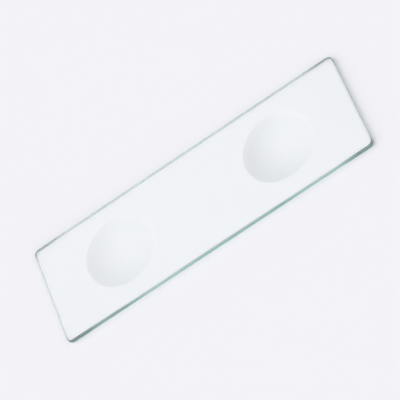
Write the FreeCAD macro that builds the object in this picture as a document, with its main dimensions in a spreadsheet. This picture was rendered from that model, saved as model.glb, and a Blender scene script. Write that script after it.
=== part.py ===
import FreeCAD, Part
import os
import math
import Sketcher

# A two-well microscope slide: one plate of clear glass with rounded corners, lightly bevelled
# edges and two shallow round wells ground and polished into its upper face.
# Millimetres. The origin is the middle of the underside, +X runs along the slide, +Z is up
# and the wells open upward.

NODE = "glass_slide"

# Name, value and what it measures
DIMENSIONS = (
    ("slide_length", 76.2, "along X, end to end"),
    ("slide_width", 25.4, "along Y, edge to edge"),
    ("slide_thickness", 1.1, "underside to upper face"),
    ("corner_radius", 1.2, "the four corners, seen from above"),
    ("bevel_width", 0.12, "the 45 degree bevel along every outer edge"),
    ("well_diameter", 16.6, "across a well where its rim meets the upper face"),
    ("well_depth", 0.5, "upper face to the lowest point of a well"),
    ("well_pitch", 40.0, "between the middles of the wells"),
    ("rim_radius", 1.2, "the polished rounding of a well's rim"),
)

ORIGIN = -1
V_AXIS = -2
START, END, CENTRE = 1, 2, 3


def make_sheet(doc):
    """The driving dimensions, one named cell a line."""
    sheet = doc.addObject("Spreadsheet::Sheet", "Dimensions")
    for row, (name, value, note) in enumerate(DIMENSIONS, start=1):
        sheet.set(f"A{row}", name)
        sheet.set(f"B{row}", str(value))
        sheet.set(f"C{row}", note)
        sheet.setAlias(f"B{row}", name)
    doc.recompute()
    return sheet


def attach(sketch, body, role):
    """Lays a sketch on one of its body's own origin planes."""
    plane = next(f for f in body.Origin.OriginFeatures if f.Role == role)
    sketch.AttachmentSupport = [(plane, "")]
    sketch.MapMode = "FlatFace"


def size(sketch, name, constraint, expression):
    """Adds a constraint and ties its value to the sheet."""
    index = sketch.addConstraint(constraint)
    sketch.renameConstraint(index, name)
    sketch.setExpression(f"Constraints.{name}", expression)


def draw_outline(body, sheet):
    """The slide from above: a rectangle with its four corners rounded."""
    sketch = body.newObject("Sketcher::SketchObject", "Outline")
    attach(sketch, body, "XY_Plane")
    half_length = sheet.slide_length / 2
    half_width = sheet.slide_width / 2
    radius = sheet.corner_radius

    # Counter-clockwise from the +X +Y corner: each corner's arc, then the side that follows it.
    corners = ((1, 1), (-1, 1), (-1, -1), (1, -1))
    arcs = []
    for quarter, (sx, sy) in enumerate(corners):
        middle = FreeCAD.Vector(sx * (half_length - radius), sy * (half_width - radius), 0)
        circle = Part.Circle(middle, FreeCAD.Vector(0, 0, 1), radius)
        turn = quarter * math.pi / 2
        arcs.append(sketch.addGeometry(Part.ArcOfCircle(circle, turn, turn + math.pi / 2)))
    sides = []
    for quarter, arc in enumerate(arcs):
        following = arcs[(quarter + 1) % 4]
        line = Part.LineSegment(sketch.getPoint(arc, END), sketch.getPoint(following, START))
        sides.append(sketch.addGeometry(line))

    for quarter, (arc, side) in enumerate(zip(arcs, sides)):
        following = arcs[(quarter + 1) % 4]
        sketch.addConstraint(Sketcher.Constraint("Tangent", arc, END, side, START))
        sketch.addConstraint(Sketcher.Constraint("Tangent", side, END, following, START))
        if quarter:
            sketch.addConstraint(Sketcher.Constraint("Equal", arcs[0], arc))
    top, left, bottom, right = sides
    for side in (top, bottom):
        sketch.addConstraint(Sketcher.Constraint("Horizontal", side))
    for side in (left, right):
        sketch.addConstraint(Sketcher.Constraint("Vertical", side))
    sketch.addConstraint(
        Sketcher.Constraint("Symmetric", arcs[0], CENTRE, arcs[2], CENTRE, ORIGIN, START)
    )
    size(sketch, "corner", Sketcher.Constraint("Radius", arcs[0], radius), "Dimensions.corner_radius")
    size(
        sketch,
        "length",
        Sketcher.Constraint("DistanceX", left, START, right, START, 2 * half_length),
        "Dimensions.slide_length",
    )
    size(
        sketch,
        "width",
        Sketcher.Constraint("DistanceY", bottom, START, top, START, 2 * half_width),
        "Dimensions.slide_width",
    )
    return sketch


def make_plate(body, sheet, doc):
    """The sheet of glass as it is cut, with every outer edge bevelled."""
    pad = body.newObject("PartDesign::Pad", "Plate")
    pad.Profile = draw_outline(body, sheet)
    pad.setExpression("Length", "Dimensions.slide_thickness")
    doc.recompute()

    bevel = body.newObject("PartDesign::Chamfer", "Bevel")
    faces = [
        f"Face{number}"
        for number, face in enumerate(pad.Shape.Faces, start=1)
        if abs(face.normalAt(0, 0).z) > 0.5
    ]
    bevel.Base = (pad, faces)
    bevel.setExpression("Size", "Dimensions.bevel_width")
    doc.recompute()
    return bevel


def draw_well(body, sheet):
    """Half of a well's section, on a plane through its axis.

    The bowl is part of a sphere. At its edge it runs tangentially into the small convex arc of
    the rim, and that arc runs tangentially into the upper face.
    """
    sketch = body.newObject("Sketcher::SketchObject", "WellSection")
    attach(sketch, body, "XZ_Plane")
    sketch.setExpression("AttachmentOffset.Base.x", "Dimensions.well_pitch / 2")
    top = sheet.slide_thickness
    depth = sheet.well_depth
    reach = sheet.well_diameter / 2
    rim = sheet.rim_radius

    # The two arcs touch when their centres stand bowl + rim apart.
    bowl = (reach**2 + depth**2) / (2 * depth) - rim
    turn = math.asin(reach / (bowl + rim))
    upward = math.pi / 2
    bowl_circle = Part.Circle(
        FreeCAD.Vector(0, top - depth + bowl, 0), FreeCAD.Vector(0, 0, 1), bowl
    )
    rim_circle = Part.Circle(
        FreeCAD.Vector(reach, top - rim, 0), FreeCAD.Vector(0, 0, 1), rim
    )
    bowl_arc = sketch.addGeometry(Part.ArcOfCircle(bowl_circle, -upward, turn - upward))
    rim_arc = sketch.addGeometry(Part.ArcOfCircle(rim_circle, upward, upward + turn))
    middle_top = FreeCAD.Vector(0, top, 0)
    lid = sketch.addGeometry(Part.LineSegment(sketch.getPoint(rim_arc, START), middle_top))
    axis = sketch.addGeometry(Part.LineSegment(middle_top, sketch.getPoint(bowl_arc, START)))

    sketch.addConstraint(Sketcher.Constraint("Tangent", bowl_arc, END, rim_arc, END))
    sketch.addConstraint(Sketcher.Constraint("Tangent", rim_arc, START, lid, START))
    sketch.addConstraint(Sketcher.Constraint("Coincident", lid, END, axis, START))
    sketch.addConstraint(Sketcher.Constraint("Coincident", axis, END, bowl_arc, START))
    sketch.addConstraint(Sketcher.Constraint("Horizontal", lid))
    sketch.addConstraint(Sketcher.Constraint("PointOnObject", axis, START, V_AXIS))
    sketch.addConstraint(Sketcher.Constraint("PointOnObject", axis, END, V_AXIS))
    sketch.addConstraint(Sketcher.Constraint("PointOnObject", bowl_arc, CENTRE, V_AXIS))
    size(sketch, "rim", Sketcher.Constraint("Radius", rim_arc, rim), "Dimensions.rim_radius")
    size(
        sketch,
        "reach",
        Sketcher.Constraint("DistanceX", lid, END, lid, START, reach),
        "Dimensions.well_diameter / 2",
    )
    size(
        sketch,
        "depth",
        Sketcher.Constraint("DistanceY", axis, END, axis, START, depth),
        "Dimensions.well_depth",
    )
    size(
        sketch,
        "top",
        Sketcher.Constraint("DistanceY", ORIGIN, START, axis, START, top),
        "Dimensions.slide_thickness",
    )
    return sketch


def grind_wells(body, sheet, doc):
    """One well turned out of the upper face, and its mirror image at the slide's other end."""
    before = body.Shape.Volume
    section = draw_well(body, sheet)
    well = body.newObject("PartDesign::Groove", "Well")
    well.Profile = section
    well.ReferenceAxis = (section, ["V_Axis"])
    well.Angle = 360
    doc.recompute()
    one_well = before - well.Shape.Volume

    pair = body.newObject("PartDesign::Mirrored", "WellPair")
    pair.Originals = [well]
    pair.MirrorPlane = (next(f for f in body.Origin.OriginFeatures if f.Role == "YZ_Plane"), [""])
    body.Tip = pair
    doc.recompute()

    removed = before - pair.Shape.Volume
    if one_well <= 0 or abs(removed - 2 * one_well) > 1e-6 * before:
        raise RuntimeError(f"the wells took {one_well:.4f} and {removed:.4f} mm3")
    return pair


def make_slide(doc, sheet):
    """The whole slide."""
    body = doc.addObject("PartDesign::Body", "GlassSlide")
    body.Label = NODE
    make_plate(body, sheet, doc)
    grind_wells(body, sheet, doc)
    return body


def check(doc, bodies):
    """Stops the build if any step of the model failed or a shape isn't a sound solid."""
    for item in doc.Objects:
        if {"Invalid", "Error"} & set(item.State):
            raise RuntimeError(f"{item.Name} failed: {item.State}")
        if item.TypeId == "Sketcher::SketchObject" and item.solve() != 0:
            raise RuntimeError(f"{item.Name} doesn't solve")
    for body in bodies:
        shape = body.Shape
        if shape.isNull() or not shape.isValid() or len(shape.Solids) != 1:
            raise RuntimeError(f"{body.Label} isn't one sound solid")


def main():
    doc = FreeCAD.newDocument("MicroscopeSlide")
    sheet = make_sheet(doc)
    bodies = [make_slide(doc, sheet)]
    doc.recompute()
    check(doc, bodies)

    os.makedirs("parts", exist_ok=True)
    for body in bodies:
        body.Shape.exportStep(f"parts/{body.Label}.step")
        box = body.Shape.BoundBox
        print(
            f"{body.Label}: {box.XLength:.2f} x {box.YLength:.2f} x {box.ZLength:.2f} mm,"
            f" {body.Shape.Volume:.1f} mm3, {len(body.Shape.Faces)} faces"
        )


main()
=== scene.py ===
import math
import bpy
from mathutils import Matrix, Vector


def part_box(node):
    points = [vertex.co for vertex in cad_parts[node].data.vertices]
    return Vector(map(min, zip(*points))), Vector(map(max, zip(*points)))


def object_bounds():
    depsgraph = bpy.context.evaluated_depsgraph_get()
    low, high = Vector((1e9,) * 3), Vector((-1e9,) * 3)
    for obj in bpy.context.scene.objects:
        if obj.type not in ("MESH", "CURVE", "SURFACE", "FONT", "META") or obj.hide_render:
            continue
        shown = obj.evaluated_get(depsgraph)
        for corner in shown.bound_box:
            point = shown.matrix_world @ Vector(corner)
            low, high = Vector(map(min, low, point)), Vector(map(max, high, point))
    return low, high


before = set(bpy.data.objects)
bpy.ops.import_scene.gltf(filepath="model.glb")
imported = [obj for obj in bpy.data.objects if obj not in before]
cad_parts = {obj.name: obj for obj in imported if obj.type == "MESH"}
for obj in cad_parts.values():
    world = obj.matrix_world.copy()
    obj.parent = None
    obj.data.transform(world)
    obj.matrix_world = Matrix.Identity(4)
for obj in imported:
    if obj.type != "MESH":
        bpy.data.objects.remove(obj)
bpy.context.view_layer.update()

# A two-well glass microscope slide lying on a pale floor under soft white light.
# Metres, in the CAD frame: +X along the slide, +Z up, origin in the middle of its underside.

NODE = "glass_slide"

# The viewpoint, as angles about the slide's middle
VIEW_AZIMUTH = math.radians(19.65)
VIEW_ELEVATION = math.radians(49.4)
VIEW_ROLL = math.radians(-48.67)
VIEW_DISTANCE = 0.601
LENS_MM = 262.0
SENSOR_MM = 36.0
CLIP_START = 0.01
CLIP_END = 20.0

# Light guided between the faces turns many times before it gets out
BOUNCES = 40

PALE = (0.896, 0.888, 0.930, 1.0)
WHITE = (1.0, 1.0, 1.0, 1.0)
UP = Vector((0, 0, 1))

# The floor lies a hair below the slide, so that their faces don't coincide
FLOOR_REACH = 3.5
FLOOR_LEVEL = -0.00003
FLOOR_ROUGHNESS = 0.9

# Soft panels of light. Each is full out to its INNER angle and gone past its REACH.
# Offsets are from where the upper face mirrors the view, towards LEAN.
LEAN = math.radians(17)
KEY_OFFSET = math.radians(9.6)
KEY_INNER = 0.0
KEY_REACH = math.radians(21.5)
KEY_STRENGTH = 2.27
SIDE_AZIMUTH = math.radians(262)
SIDE_ELEVATION = math.radians(35)
SIDE_INNER = math.radians(20)
SIDE_REACH = math.radians(48)
SIDE_STRENGTH = 1.2
FILL_AZIMUTH = math.radians(20)
FILL_ELEVATION = math.radians(55)
FILL_INNER = math.radians(30)
FILL_REACH = math.radians(62)
FILL_STRENGTH = 1.135
BASE_STRENGTH = 0.16

# The dimmer patch of the sky that shows through the glass
SHADE_OFFSET = math.radians(20.5)
SHADE_INNER = math.radians(1.7)
SHADE_REACH = math.radians(24.5)
SHADE_STRENGTH = 1.09

# Heights are sines of the elevation. Between these two an even horizon gives way to the panels.
HORIZON_ENDS = (0.10, 0.26)
HORIZON_STRENGTH = 0.9

# The sky grows from its low strength at the horizon to its whole strength at this height
SKY_FULL_HEIGHT = 0.6
SKY_LOW_STRENGTH = 0.6
SKY_STRENGTH = 1.075

# The glass, greenish in depth
IOR = 1.52
DEPTH_COLOUR = (0.225, 0.65, 0.60, 1.0)
DEPTH_DENSITY = 10.0

# Tints of the glass where it is polished, and where it is ground. The ground tints are partly the glass's
# own green and partly painted shade: the long walls and bevels darker than the nearly clear ends.
POLISHED = (0.985, 0.995, 0.990, 1.0)
# Partly the glass's green, partly painted shade that darkens the long walls
LONG_WALL = (0.52, 0.79, 0.75, 1.0)
# Painted shade: a deeper tint on the long wall beside each well
WELL_WALL_PAINTED_SHADE = (0.31, 0.62, 0.58, 1.0)
END_WALL = (0.95, 0.93, 0.93, 1.0)
# Painted shade: the corners' walls are coloured dark, where light lost on long paths in the glass leaves
# them dim
CORNER_WALL_PAINTED_SHADE = (0.14, 0.24, 0.24, 1.0)
STREAK = (0.44, 0.64, 0.61, 1.0)
# Painted shade: the long bevels greyed into dark lines, the ends' bevels less
LONG_BEVEL = (0.78, 0.71, 0.72, 1.0)
END_BEVEL = (0.98, 0.88, 0.89, 1.0)
# Painted shade: the corners' bevels are coloured dark
CORNER_BEVEL_PAINTED_SHADE = (0.15, 0.14, 0.15, 1.0)
NICK = (0.35, 0.35, 0.36, 1.0)
STREAK_SHARE = 0.5
NICK_SHARE = 0.5

# Roughness, and how much of it the patterns add
SMEAR_ROUGHNESS = 0.03
RING_ROUGHNESS = 0.03
BEVEL_ROUGHNESS = 0.24
BEVEL_STREAK_ROUGHNESS = 0.22
WALL_ROUGHNESS = 0.50
WALL_STREAK_ROUGHNESS = 0.35
CORNER_ROUGHNESS = 0.10

# Heights of the relief
STREAK_HEIGHT = 0.000003
GRAIN_HEIGHT = 0.000001
NICK_HEIGHT = -0.000012
RING_HEIGHT = 0.0000004

# Each mask runs from 0 at its first number to 1 at its second.
# The first three go by the surface's normal: its Z off the faces and onto the walls, its X onto the ends.
GROUND_MASK = (0.97, 0.90)
WALL_MASK = (0.55, 0.35)
END_MASK = (0.20, 0.95)
# In from the end and in from the side, for the corners, where shade is painted dark into the walls' and
# bevels' colour and the walls are rougher
CORNER_MASK_ALONG = (0.0090, 0.0032)
CORNER_MASK_ACROSS = (0.0028, 0.0006)
# Shares of a well's radius: along the wall beside a well, and inside its rim
BESIDE_MASK = (1.2, 0.2)
WELL_MASK = (1.0, 0.97)
# Shares of the slide's thickness
UPPER_MASK = (0.3, 0.5)

# Patterns, as scale and detail. Streaks are drawn out along the edges by unequal scales.
STREAK_STRETCH = (160.0, 160.0, 5000.0)
STREAK_NOISE = (1.0, 3.0)
GRAIN_NOISE = (4200.0, 2.0)
NICK_NOISE = (900.0, 3.0)
NICK_MASK = (0.60, 0.72)
RING_NOISE = (2600.0, 2.0)
SMEAR_NOISE = (60.0, 4.0)


def direction(azimuth, elevation):
    """The way to a point at these angles: azimuth 0 is -Y, turning towards +X."""
    flat = math.cos(elevation)
    return Vector((math.sin(azimuth) * flat, -math.cos(azimuth) * flat, math.sin(elevation)))


class Nodes:
    """Short calls that add and join the nodes of one tree."""

    # By kind of value: the Mix node's first input for it, and its output
    MIX_SOCKETS = {"FLOAT": (2, 0), "VECTOR": (4, 1), "RGBA": (6, 2)}

    def __init__(self, tree):
        self.tree = tree

    def new(self, kind, **settings):
        node = self.tree.nodes.new("ShaderNode" + kind)
        for name, value in settings.items():
            setattr(node, name, value)
        return node

    def put(self, socket, value):
        """Joins a socket to another node's output, or gives it a constant."""
        if isinstance(value, bpy.types.NodeSocket):
            self.tree.links.new(value, socket)
        else:
            socket.default_value = value

    def math(self, operation, *values):
        node = self.new("Math", operation=operation)
        for socket, value in zip(node.inputs, values):
            self.put(socket, value)
        return node.outputs[0]

    def vector(self, operation, *values):
        node = self.new("VectorMath", operation=operation)
        for socket, value in zip(node.inputs, values):
            self.put(socket, value)
        return node.outputs["Value" if operation in ("DOT_PRODUCT", "LENGTH") else "Vector"]

    def scale(self, vector, factor):
        node = self.new("VectorMath", operation="SCALE")
        self.put(node.inputs["Vector"], vector)
        self.put(node.inputs["Scale"], factor)
        return node.outputs["Vector"]

    def split(self, vector):
        node = self.new("SeparateXYZ")
        self.put(node.inputs[0], vector)
        return node.outputs

    def join(self, x, y, z):
        node = self.new("CombineXYZ")
        for socket, value in zip(node.inputs, (x, y, z)):
            self.put(socket, value)
        return node.outputs[0]

    def ramp(self, value, low, high, start=0.0, end=1.0):
        """Runs smoothly from start to end as the value runs from low to high."""
        node = self.new("MapRange", interpolation_type="SMOOTHSTEP")
        for name, number in (("From Min", low), ("From Max", high), ("To Min", start), ("To Max", end)):
            node.inputs[name].default_value = number
        self.put(node.inputs["Value"], value)
        return node.outputs["Result"]

    def mix(self, kind, factor, first, second):
        """From the first to the second as the factor runs from 0 to 1."""
        node = self.new("Mix", data_type=kind)
        start, result = self.MIX_SOCKETS[kind]
        self.put(node.inputs["Factor"], factor)
        self.put(node.inputs[start], first)
        self.put(node.inputs[start + 1], second)
        return node.outputs[result]

    def noise(self, vector, scale, detail):
        node = self.new("TexNoise", noise_dimensions="3D")
        self.put(node.inputs["Vector"], vector)
        node.inputs["Scale"].default_value = scale
        node.inputs["Detail"].default_value = detail
        return node.outputs[0]

    def choose(self, test, no, yes):
        """One of two shaders."""
        node = self.new("MixShader")
        self.put(node.inputs["Fac"], test)
        self.put(node.inputs[1], no)
        self.put(node.inputs[2], yes)
        return node.outputs[0]

    def background(self, colour, strength):
        node = self.new("Background")
        self.put(node.inputs["Color"], colour)
        self.put(node.inputs["Strength"], strength)
        return node.outputs[0]


def make_camera():
    """Aims at the slide's middle from the viewpoint."""
    lo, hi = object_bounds()
    back = direction(VIEW_AZIMUTH, VIEW_ELEVATION)
    right = UP.cross(back).normalized()
    up = back.cross(right)
    roll = Matrix.Rotation(VIEW_ROLL, 3, back)
    axes = Matrix((roll @ right, roll @ up, back)).transposed().to_4x4()
    data = bpy.data.cameras.new("camera")
    data.lens = LENS_MM
    data.sensor_width = SENSOR_MM
    data.clip_start = CLIP_START
    data.clip_end = CLIP_END
    camera = bpy.data.objects.new("camera", data)
    camera.matrix_world = Matrix.Translation((lo + hi) / 2 + back * VIEW_DISTANCE) @ axes
    bpy.context.scene.collection.objects.link(camera)
    bpy.context.scene.camera = camera


def beside_mirrored(offset):
    """A point that far to the side of where the upper face mirrors the view."""
    view = direction(VIEW_AZIMUTH, VIEW_ELEVATION)
    mirrored = direction(VIEW_AZIMUTH + math.pi, VIEW_ELEVATION)
    lean = Vector((math.cos(LEAN), math.sin(LEAN), 0))
    aside = lean.dot(view) * UP + UP.dot(view) * lean
    aside = (aside - aside.dot(mirrored) * mirrored).normalized()
    return math.cos(offset) * mirrored - math.sin(offset) * aside


def panel(n, way, centre, inner, reach, strength):
    """A round patch of light about a centre."""
    nearness = n.vector("DOT_PRODUCT", way, centre)
    return n.ramp(nearness, math.cos(reach), math.cos(inner), 0.0, strength)


def panel_light(n, way, height):
    """What reflections see and what lights the floor: three soft panels, evened out low down."""
    key = panel(n, way, beside_mirrored(KEY_OFFSET), KEY_INNER, KEY_REACH, KEY_STRENGTH)
    side_way = direction(SIDE_AZIMUTH, SIDE_ELEVATION)
    side = panel(n, way, side_way, SIDE_INNER, SIDE_REACH, SIDE_STRENGTH)
    fill_way = direction(FILL_AZIMUTH, FILL_ELEVATION)
    fill = panel(n, way, fill_way, FILL_INNER, FILL_REACH, FILL_STRENGTH)
    panels = n.math("ADD", n.math("ADD", n.math("MAXIMUM", key, side), fill), BASE_STRENGTH)
    low = n.ramp(height, *HORIZON_ENDS, 1.0, 0.0)
    return n.mix("FLOAT", low, panels, HORIZON_STRENGTH)


def sky_light(n, way, height):
    """What shows through the glass and lights what is under it: an even sky with one dimmer patch.

    The underside turns a mirrored view the other way from a well's slope above it, so the patch
    lies across from the key and both darken the same side of a well.
    """
    sky = n.ramp(height, 0.0, SKY_FULL_HEIGHT, SKY_LOW_STRENGTH, SKY_STRENGTH)
    shade = panel(n, way, beside_mirrored(SHADE_OFFSET), SHADE_INNER, SHADE_REACH, SHADE_STRENGTH)
    return n.math("SUBTRACT", sky, shade)


def make_world():
    """A plain backdrop for the camera, the sky through glass, and the panels for all other light."""
    world = bpy.data.worlds.new("studio")
    world.use_nodes = True
    tree = world.node_tree
    tree.nodes.clear()
    n = Nodes(tree)
    way = n.new("TexCoord").outputs["Generated"]
    height = n.split(way)[2]
    path = n.new("LightPath").outputs
    panels = n.background(WHITE, panel_light(n, way, height))
    sky = n.background(WHITE, sky_light(n, way, height))
    bounced = n.choose(path["Is Transmission Ray"], panels, sky)
    seen = n.choose(path["Is Camera Ray"], bounced, n.background(PALE, 1.0))
    n.put(n.new("OutputWorld").inputs["Surface"], seen)
    bpy.context.scene.world = world


def make_floor():
    """A plain pale floor, far wider than the view."""
    ways = ((-1, -1), (1, -1), (1, 1), (-1, 1))
    corners = [(x * FLOOR_REACH, y * FLOOR_REACH, FLOOR_LEVEL) for x, y in ways]
    mesh = bpy.data.meshes.new("floor")
    mesh.from_pydata(corners, [], [(0, 1, 2, 3)])
    floor = bpy.data.objects.new("floor", mesh)
    bpy.context.scene.collection.objects.link(floor)
    mat = bpy.data.materials.new("floor")
    mat.use_nodes = True
    p = mat.node_tree.nodes["Principled BSDF"]
    p.inputs["Base Color"].default_value = PALE
    p.inputs["Roughness"].default_value = FLOOR_ROUGHNESS
    p.inputs["Specular IOR Level"].default_value = 0.0
    mesh.materials.append(mat)


def well_shape(slide):
    """Off the slide's vertices: how far out a well is, its radius, its bowl's and its rim's.

    The rim is where the well meets the upper face. The bowl is a sphere, so any of its points
    part of the way up gives the sphere's radius.
    """
    _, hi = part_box(NODE)
    off_edge = 0.001
    off_underside = hi.z * 0.2
    level = 1e-6
    lowest_share = 0.3
    highest_share = 0.8
    inside = [
        v.co
        for v in slide.data.vertices
        if off_edge < v.co.x < hi.x - off_edge
        and abs(v.co.y) < hi.y - off_edge
        and v.co.z > off_underside
    ]
    rim = [co.x for co in inside if co.z > hi.z - level]
    middle = (min(rim) + max(rim)) / 2
    radius = (max(rim) - min(rim)) / 2
    lowest = min(co.z for co in inside)
    depth = hi.z - lowest
    bowls = []
    for co in inside:
        rise = co.z - lowest
        if depth * lowest_share < rise < depth * highest_share:
            bowls.append(((co.x - middle) ** 2 + co.y**2 + rise**2) / (2 * rise))
    bowl = sum(bowls) / len(bowls)
    bowl_and_rim = (radius**2 + depth**2) / (2 * depth)
    return middle, radius, bowl, bowl_and_rim - bowl


class Surface:
    """Where on the slide a point lies, as masks and patterns its material is mixed from."""

    def __init__(self, n, slide):
        _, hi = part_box(NODE)
        middle, self.radius, self.bowl, self.rim = well_shape(slide)
        coords = n.new("TexCoord").outputs
        place = coords["Object"]
        self.facing = coords["Normal"]
        self.x, self.y, z = n.split(place)
        normal = n.split(self.facing)
        upright = n.math("ABSOLUTE", normal[2])
        along = n.math("ABSOLUTE", self.x)
        across = n.math("ABSOLUTE", self.y)

        self.ground = n.ramp(upright, *GROUND_MASK)
        self.wall = n.ramp(upright, *WALL_MASK)
        self.end = n.ramp(n.math("ABSOLUTE", normal[0]), *END_MASK)
        # Near the corners, where the tint paints shade
        near_end = n.ramp(along, *(hi.x - inset for inset in CORNER_MASK_ALONG))
        near_side = n.ramp(across, *(hi.y - inset for inset in CORNER_MASK_ACROSS))
        self.corner = n.math("MULTIPLY", near_end, near_side)

        # The wells, by how far outward of a well's axis a point lies and how far from the axis
        self.outward = n.math("SUBTRACT", along, middle)
        self.reach = n.vector("LENGTH", n.join(self.outward, self.y, 0.0))
        beside = n.math("ABSOLUTE", self.outward)
        # Along the wall beside a well, where the tint paints shade
        self.beside = n.ramp(beside, *(self.radius * share for share in BESIDE_MASK))
        above = n.ramp(z, *(hi.z * share for share in UPPER_MASK))
        within = n.ramp(self.reach, *(self.radius * share for share in WELL_MASK))
        self.well = n.math("MULTIPLY", within, above)
        self.upper = n.math("MULTIPLY", above, n.math("SUBTRACT", 1.0, self.ground))

        # Grinding streaks run along every edge, and the polishing rings round each well
        self.streaks = n.noise(n.vector("MULTIPLY", place, STREAK_STRETCH), *STREAK_NOISE)
        self.grain = n.noise(place, *GRAIN_NOISE)
        self.nicks = n.ramp(n.noise(place, *NICK_NOISE), *NICK_MASK)
        self.rings = n.noise(n.join(self.reach, 0.0, 0.0), *RING_NOISE)
        self.smears = n.noise(place, *SMEAR_NOISE)


def tint(n, s):
    """Clear on the faces, darker where it is ground and darkest at the corners: the glass's own green,
    with painted shade on the long walls and bevels and at the corners.

    Light getting out through a well's slope makes the wall beside it look lighter than the rest, and a
    deeper tint there, painted shade, evens out some of that.
    """
    # Painted shade: the wall beside each well tinted deeper
    wall = n.mix("RGBA", s.beside, LONG_WALL, WELL_WALL_PAINTED_SHADE)
    # The ends keep a nearly clear tint, lighter than the long walls' painted shade
    wall = n.mix("RGBA", s.end, wall, END_WALL)
    # Painted shade: the corners of the walls coloured dark
    wall = n.mix("RGBA", s.corner, wall, CORNER_WALL_PAINTED_SHADE)
    wall = n.mix("RGBA", n.math("MULTIPLY", s.streaks, STREAK_SHARE), wall, STREAK)
    # Painted shade: the long bevels greyed darker than the ends'
    bevel = n.mix("RGBA", s.end, LONG_BEVEL, END_BEVEL)
    # Painted shade: the corners of the bevels coloured dark
    bevel = n.mix("RGBA", s.corner, bevel, CORNER_BEVEL_PAINTED_SHADE)
    bevel = n.mix("RGBA", n.math("MULTIPLY", s.nicks, NICK_SHARE), bevel, NICK)
    return n.mix("RGBA", s.ground, POLISHED, n.mix("RGBA", s.wall, bevel, wall))


def roughness(n, s):
    """Polished but for a trace of smears and the wells' rings, and matt where it is ground."""
    smears = n.math("MULTIPLY", s.smears, SMEAR_ROUGHNESS)
    rings = n.math("MULTIPLY", n.math("MULTIPLY", s.rings, s.well), RING_ROUGHNESS)
    polished = n.math("ADD", smears, rings)
    bevel = n.math("MULTIPLY_ADD", s.streaks, BEVEL_STREAK_ROUGHNESS, BEVEL_ROUGHNESS)
    wall = n.math("MULTIPLY_ADD", s.corner, CORNER_ROUGHNESS, WALL_ROUGHNESS)
    wall = n.math("MULTIPLY_ADD", s.streaks, WALL_STREAK_ROUGHNESS, wall)
    return n.mix("FLOAT", s.ground, polished, n.mix("FLOAT", s.wall, bevel, wall))


def true_normal(n, s):
    """The way the surface faces, with the upper face and its wells as smooth as they are ground.

    The mesh's own normals lean the wrong way for a millimetre or more about the wells' rims.
    """
    on_rim = n.math("MAXIMUM", n.math("DIVIDE", n.math("SUBTRACT", s.radius, s.reach), s.rim), 0.0)
    slope = n.math("MINIMUM", n.math("DIVIDE", s.reach, s.bowl), on_rim)
    from_axis = n.join(n.math("MULTIPLY", s.outward, n.math("SIGN", s.x)), s.y, 0.0)
    inward = n.scale(n.vector("NORMALIZE", from_axis), n.math("MULTIPLY", slope, -1.0))
    smooth = n.vector("NORMALIZE", n.vector("ADD", inward, UP))
    smooth = n.scale(smooth, n.math("SIGN", n.split(s.facing)[2]))
    turn = n.new("VectorTransform", vector_type="NORMAL", convert_from="OBJECT", convert_to="WORLD")
    n.put(turn.inputs[0], n.mix("VECTOR", s.upper, s.facing, smooth))
    return turn.outputs[0]


def relief(n, s):
    """Streaks, grain and nicks a few microns deep where it is ground, and faint rings in the wells."""
    height = n.math("MULTIPLY", s.streaks, STREAK_HEIGHT)
    height = n.math("MULTIPLY_ADD", s.grain, GRAIN_HEIGHT, height)
    height = n.math("MULTIPLY_ADD", s.nicks, NICK_HEIGHT, height)
    rings = n.math("MULTIPLY", n.math("MULTIPLY", s.rings, s.well), RING_HEIGHT)
    bump = n.new("Bump")
    bump.inputs["Strength"].default_value = 1.0
    bump.inputs["Distance"].default_value = 1.0
    n.put(bump.inputs["Height"], n.math("MULTIPLY_ADD", height, s.ground, rings))
    n.put(bump.inputs["Normal"], true_normal(n, s))
    return bump.outputs[0]


def glass(slide):
    """Clear soda-lime glass: polished faces and wells, ground walls and bevels, with painted shade in the
    walls' and bevels' colour.
    """
    mat = bpy.data.materials.new("clear_glass_painted_edge_shade")
    mat.use_nodes = True
    n = Nodes(mat.node_tree)
    s = Surface(n, slide)
    p = mat.node_tree.nodes["Principled BSDF"].inputs
    p["IOR"].default_value = IOR
    p["Transmission Weight"].default_value = 1.0
    n.put(p["Base Color"], tint(n, s))
    n.put(p["Roughness"], roughness(n, s))
    n.put(p["Normal"], relief(n, s))

    absorb = n.new("VolumeAbsorption")
    absorb.inputs["Color"].default_value = DEPTH_COLOUR
    absorb.inputs["Density"].default_value = DEPTH_DENSITY
    n.put(mat.node_tree.nodes["Material Output"].inputs["Volume"], absorb.outputs["Volume"])
    return mat


def main():
    scene = bpy.context.scene
    scene.view_settings.view_transform = "Standard"
    scene.cycles.max_bounces = BOUNCES
    scene.cycles.transmission_bounces = BOUNCES
    scene.cycles.glossy_bounces = BOUNCES
    # The floor is lit through the glass, and blurred reflections would leave it dark there
    scene.cycles.blur_glossy = 0.0
    make_camera()
    make_world()
    make_floor()
    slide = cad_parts[NODE]
    slide.material_slots[0].material = glass(slide)


main()
